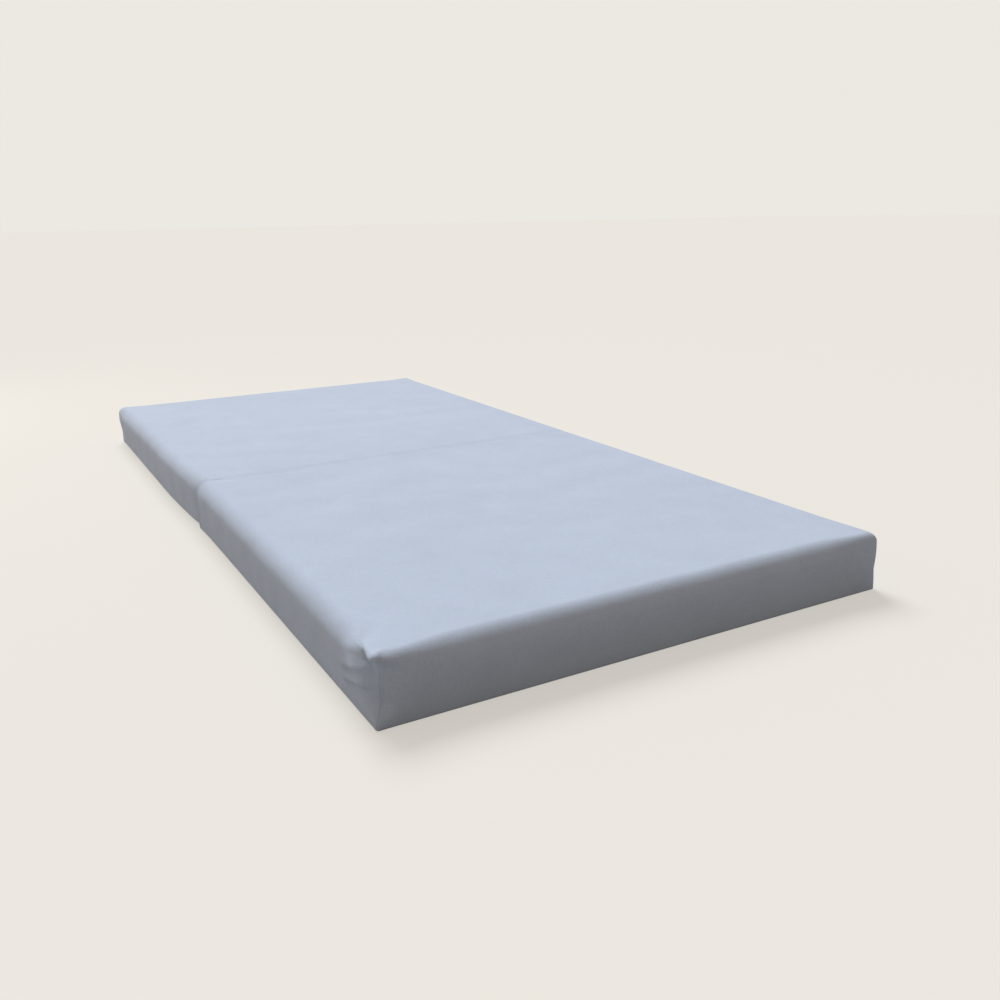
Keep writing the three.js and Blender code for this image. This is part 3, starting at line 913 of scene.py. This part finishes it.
def cloth_material(name, colour):
    """A close plain weave with a brushed, slightly heathered face, puckered beside its seams, with shade
    painted along them.
    """
    m = Surface(name)
    place = m.place()
    cloth = m.add("ShaderNodeUVMap", uv_map="cloth").outputs["UV"]
    u, v, _ = m.parts(cloth)
    warp = m.math("SINE", m.math("MULTIPLY", u, math.pi / THREAD_PITCH))
    weft = m.math("SINE", m.math("MULTIPLY", v, math.pi / THREAD_PITCH))
    weave = m.math("MULTIPLY", warp, weft)
    across, along, flat = FIBRE_SCALES
    warp_slub = m.noise(m.stretched(cloth, (across, along, flat)), 1.0, 1.0)
    weft_slub = m.noise(m.stretched(cloth, (along, across, flat)), 1.0, 1.0)
    slub = m.math("ADD", warp_slub, weft_slub)
    nap = m.noise(place, 900, 3.0, 0.6)
    fleck = m.noise(place, 300, 2.0, 0.6)
    mottle = m.noise(place, 14, 3.0, 0.55)
    cloud = m.noise(place, 2.6)
    seam = m.add("ShaderNodeAttribute", attribute_name="seam").outputs["Fac"]
    beside = m.math("EXPONENT", m.math("MULTIPLY", seam, -150.0))
    gathers = m.noise(place, 130)
    base = m.ramp(cloud, (0.30, tinted(colour, 0.965)), (0.70, tinted(colour, 1.03)))
    base = m.mix(0.55, base, m.ramp(mottle, (0.3, tinted(colour, 0.955)), (0.7, tinted(colour, 1.04))))
    heather = m.ramp(m.math("MULTIPLY", slub, 0.5), (0.36, (0.86, 0.865, 0.88)), (0.64, WHITE))
    base = m.mix(0.55, base, heather, "MULTIPLY")
    base = m.mix(0.5, base, m.ramp(nap, (0.35, (0.90, 0.90, 0.91)), (0.62, WHITE)), "MULTIPLY")
    base = m.mix(0.6, base, m.ramp(fleck, (0.36, (0.90, 0.905, 0.92)), (0.60, WHITE)), "MULTIPLY")
    # Painted shade: the cloth is darkened close beside its seams, where their grooves fall in shade, with a
    # little grime along them
    base = m.mix(0.6, base, m.ramp(beside, (0.0, WHITE), (1.0, (0.90, 0.90, 0.91))), "MULTIPLY")
    m.into("Base Color", base)
    m.into("Roughness", m.spread(nap, 0.82, 0.96))
    m.value("Sheen Weight", 0.18)
    m.value("Sheen Roughness", 0.45)
    m.value("Specular IOR Level", 0.25)
    normal = m.bump(m.math("MULTIPLY", gathers, beside), 0.0012, 0.7)
    normal = m.bump(mottle, 0.0010, 0.35, normal)
    normal = m.bump(m.math("ADD", weave, m.math("MULTIPLY", slub, 1.2)), 0.00009, 0.8, normal)
    m.into("Normal", m.bump(nap, 0.00016, 0.6, normal))
    return m.material


def foam_material():
    """Open-cell foam: fine round pores in a warm cream."""
    m = Surface("foam_cells")
    place = m.place()
    cells = m.add("ShaderNodeTexVoronoi")
    cells.inputs["Scale"].default_value = 900
    m.join(place, cells.inputs["Vector"])
    depth = cells.outputs["Distance"]
    base = m.ramp(m.noise(place, 9, 3.0), (0.3, (0.78, 0.70, 0.50)), (0.7, (0.86, 0.79, 0.60)))
    # Painted shade: the colour darkens towards each cell's middle, the shade in its pore
    m.into("Base Color", m.mix(0.7, base, m.ramp(depth, (0.0, (0.55, 0.52, 0.45)), (0.5, WHITE)), "MULTIPLY"))
    m.value("Roughness", 0.95)
    m.into("Normal", m.bump(depth, 0.0006, 0.8))
    return m.material


TAPE_ROW, TAPE_RIB = 0.006, 0.0011  # width of a row of the herringbone, and pitch of its ribs


def tape_material(name, colour, along, across):
    """A narrow woven tape with a fine herringbone, its ribs running across it."""
    m = Surface(name)
    place = m.place()
    parts = m.parts(place)
    rows = m.math("FRACT", m.math("MULTIPLY", parts[across], 1 / TAPE_ROW))
    zigzag = m.math("ABSOLUTE", m.math("SUBTRACT", rows, 0.5))
    ribs = m.math("MULTIPLY", parts[along], 2 * math.pi / TAPE_RIB)
    rib = m.math("SINE", m.math("ADD", ribs, m.math("MULTIPLY", zigzag, 22.0)))
    fuzz = m.noise(place, 1400)
    # Painted shade and highlight: darker in the troughs between the ribs, lighter on their crests
    base = m.ramp(m.unit(rib), (0.0, tinted(colour, 0.80)), (1.0, tinted(colour, 1.08)))
    base = m.mix(0.4, base, m.ramp(fuzz, (0.3, (0.85, 0.85, 0.85)), (0.7, WHITE)), "MULTIPLY")
    m.into("Base Color", base)
    m.value("Roughness", 0.85)
    m.value("Sheen Weight", 0.12)
    m.into("Normal", m.bump(fuzz, 0.00008, 0.5, m.bump(rib, 0.00012, 0.8)))
    return m.material


def nylon_material():
    """The chain's nylon: satin, a little lighter where it is rubbed."""
    m = Surface("zip_nylon")
    place = m.place()
    tone = m.noise(place, 420)
    m.into("Base Color", m.ramp(tone, (0.3, (0.20, 0.215, 0.25)), (0.7, (0.30, 0.315, 0.35))))
    m.into("Roughness", m.spread(tone, 0.32, 0.50))
    m.into("Normal", m.bump(m.noise(place, 2400, 1.0), 0.00003, 0.5))
    return m.material


def metal_material():
    """Satin nickel over a zinc casting, with fine wear."""
    m = Surface("zip_nickel")
    place = m.place()
    scratch = m.noise(m.stretched(place, (1, 0.12, 1)), 3200)
    tone = m.noise(place, 260, 3.0)
    m.into("Base Color", m.ramp(tone, (0.3, (0.50, 0.50, 0.51)), (0.7, (0.66, 0.66, 0.66))))
    m.value("Metallic", 1.0)
    m.into("Roughness", m.spread(scratch, 0.24, 0.42))
    m.into("Normal", m.bump(scratch, 0.00002, 0.5))
    return m.material


def thread_material(colour):
    """Twisted sewing thread."""
    m = Surface("sewing_thread")
    _, y, z = m.parts(m.place())
    twist = m.math("SINE", m.math("ADD", m.math("MULTIPLY", y, 9000.0), m.math("MULTIPLY", z, 9000.0)))
    # Painted shade and highlight: darker in the twist's grooves, lighter on its plies
    m.into("Base Color", m.ramp(m.unit(twist), (0.0, tinted(colour, 0.85)), (1.0, tinted(colour, 1.06))))
    m.value("Roughness", 0.6)
    m.value("Sheen Weight", 0.2)
    m.into("Normal", m.bump(twist, 0.00005, 0.6))
    return m.material


def dress(obj, material):
    obj.data.materials.clear()
    obj.data.materials.append(material)


def bevelled(node):
    """Takes the sharpness off the edges of a cast piece."""
    bevel = node.modifiers.new("edges", "BEVEL")
    bevel.width = 0.00028
    bevel.segments = 2
    bevel.limit_method = "ANGLE"
    bevel.angle_limit = math.radians(40)
    bevel.harden_normals = True


# ---------------------------------------------------------------- assembly
cover_cloth = cloth_material("cover_cloth", (0.52, 0.605, 0.755))
foam_cells = foam_material()
binding_twill = tape_material("binding_twill", (0.42, 0.45, 0.52), 0, 2)
zip_weave = tape_material("zip_tape_weave", (0.30, 0.32, 0.37), 1, 2)
nylon = nylon_material()
nickel = metal_material()
thread = thread_material((0.50, 0.55, 0.64))

for name in ("front", "rear"):
    body = f"{name}_half"
    field = cloth_field(name)
    for label, panel in build_half(name, field).items():
        dress(panel, cover_cloth)
        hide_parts(f"{name}_{label}")
        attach(panel, body)
    foam = build_foam(name)
    dress(foam, foam_cells)
    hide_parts(f"{name}_foam_core")
    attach(foam, body)
    for which in ("upper", "lower"):
        chain = build_chain(name, which)
        dress(chain, nylon)
        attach(chain, body)
        dress(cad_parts[f"{name}_zip_tape_{which}"], zip_weave)
    stitches = build_stitches(name)
    dress(stitches, thread)
    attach(stitches, body)
    for part in ("stop_fold", "stop_outer", "slider", "pull"):
        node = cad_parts[f"{name}_zip_{part}"]
        dress(node, nickel)
        bevelled(node)

hinge = build_hinge()
dress(hinge, cover_cloth)
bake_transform(hinge)

binding = build_binding()
dress(binding, binding_twill)
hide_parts("fold_seam_tape")
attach(binding, "front_half")

# ---------------------------------------------------------------- floor, light and camera
PALE = (0.838, 0.811, 0.760)
FLOOR_SHADE = 0.965  # of that colour, where it is lit
FLOOR_BOUNCE = 0.41  # and where it throws light back at the object
FLOOR_UNSHADED = 0.6  # share of the floor that the camera sees without its shadows
FLOOR_REACH = 60.0
FLOOR_DROP = 0.0006  # below what rests on it


def floor_material():
    """Pale paper. The camera sees a share of its colour unshaded, which keeps the object's shadow soft, and
    the light that it throws back at the object is darker."""
    m = Surface("floor_paper")
    seen = m.seen_itself()
    m.into("Base Color", m.mix(seen, tinted(PALE, FLOOR_BOUNCE), tinted(PALE, FLOOR_SHADE)))
    m.value("Roughness", 1.0)
    m.value("Specular IOR Level", 0.0)
    own = m.add("ShaderNodeEmission")
    own.inputs["Color"].default_value = (*PALE, 1)
    m.choose(m.math("MULTIPLY", seen, FLOOR_UNSHADED), m.shader.outputs[0], own.outputs[0], m.out)
    return m.material


def build_floor():
    r = FLOOR_REACH
    floor = new_mesh("floor", [(-r, -r, 0), (r, -r, 0), (r, r, 0), (-r, r, 0)], [(0, 1, 2, 3)])
    floor.location.z = -FLOOR_DROP
    dress(floor, floor_material())
    return floor


def add_lamp(name, kind, power, colour, away):
    """A lamp that shines from the direction away."""
    data = bpy.data.lights.new(name, kind)
    data.energy = power
    data.color = colour
    lamp = bpy.data.objects.new(name, data)
    lamp.rotation_euler = away.to_track_quat("Z", "Y").to_euler()
    bpy.context.scene.collection.objects.link(lamp)
    return lamp


def sun(name, strength, azimuth, elevation, angle, colour):
    """A distant lamp: azimuth is where its light comes from, in degrees from +Y towards +X."""
    a, e = math.radians(azimuth), math.radians(elevation)
    away = Vector((math.sin(a) * math.cos(e), math.cos(a) * math.cos(e), math.sin(e)))
    add_lamp(name, "SUN", strength, colour, away).data.angle = math.radians(angle)


def area(name, power, size, place, target, colour):
    place = Vector(place)
    lamp = add_lamp(name, "AREA", power, colour, place - Vector(target))
    lamp.data.size = size
    lamp.location = place


AMBIENT, AMBIENT_STRENGTH = (1.0, 0.87, 0.745), 0.385


def build_world():
    """An even warm light on the object, before a pale backdrop."""
    world = bpy.data.worlds.new("studio")
    bpy.context.scene.world = world
    w = Nodes(world)
    lights = []
    for colour, strength in ((AMBIENT, AMBIENT_STRENGTH), (PALE, 1.0)):
        light = w.add("ShaderNodeBackground")
        light.inputs["Color"].default_value = (*colour, 1)
        light.inputs["Strength"].default_value = strength
        lights.append(light.outputs[0])
    w.choose(w.seen_itself(), *lights, w.add("ShaderNodeOutputWorld"))


CAMERA_AT = Vector((-0.8264, -1.9478, 0.6161))
CAMERA_YAW, CAMERA_PITCH, CAMERA_ROLL = 29.19, 16.73, -0.945  # degrees: towards +X, down, and of the image
CAMERA_LENS, CAMERA_SENSOR = 34.37, 36  # mm


def build_camera():
    data = bpy.data.cameras.new("camera")
    data.lens = CAMERA_LENS
    data.sensor_width = CAMERA_SENSOR
    data.clip_start = 0.01
    data.clip_end = 300
    camera = bpy.data.objects.new("camera", data)
    yaw, pitch, roll = (math.radians(v) for v in (CAMERA_YAW, CAMERA_PITCH, CAMERA_ROLL))
    forward = Vector((math.sin(yaw) * math.cos(pitch), math.cos(yaw) * math.cos(pitch), -math.sin(pitch)))
    level = Vector((math.cos(yaw), -math.sin(yaw), 0))
    upward = level.cross(forward)
    image_x = level * math.cos(roll) + upward * math.sin(roll)
    image_y = upward * math.cos(roll) - level * math.sin(roll)
    turn = Matrix((image_x, image_y, -forward)).transposed()
    camera.matrix_world = Matrix.Translation(CAMERA_AT) @ turn.to_4x4()
    bpy.context.scene.collection.objects.link(camera)
    bpy.context.scene.camera = camera


floor = build_floor()
sun("key", 2.86, 8, 48, 30, (0.922, 0.966, 1.0))
area("window", 1.25, 1.2, (0.15, 0.75, 1.5), (0.05, 0.35, 0.1), (0.82, 0.90, 1.0))
area("fill", 4.6, 1.6, (-3.0, 0.1, 0.5), (-0.45, 0.0, 0.05), (1.0, 0.94, 0.88))
area("side", 4.8, 1.0, (-1.7, 1.8, 0.7), (-0.45, 0.75, 0.05), (1.0, 0.88, 0.76))
build_world()
build_camera()
bpy.context.scene.view_settings.view_transform = "Standard"

bpy.context.view_layer.update()
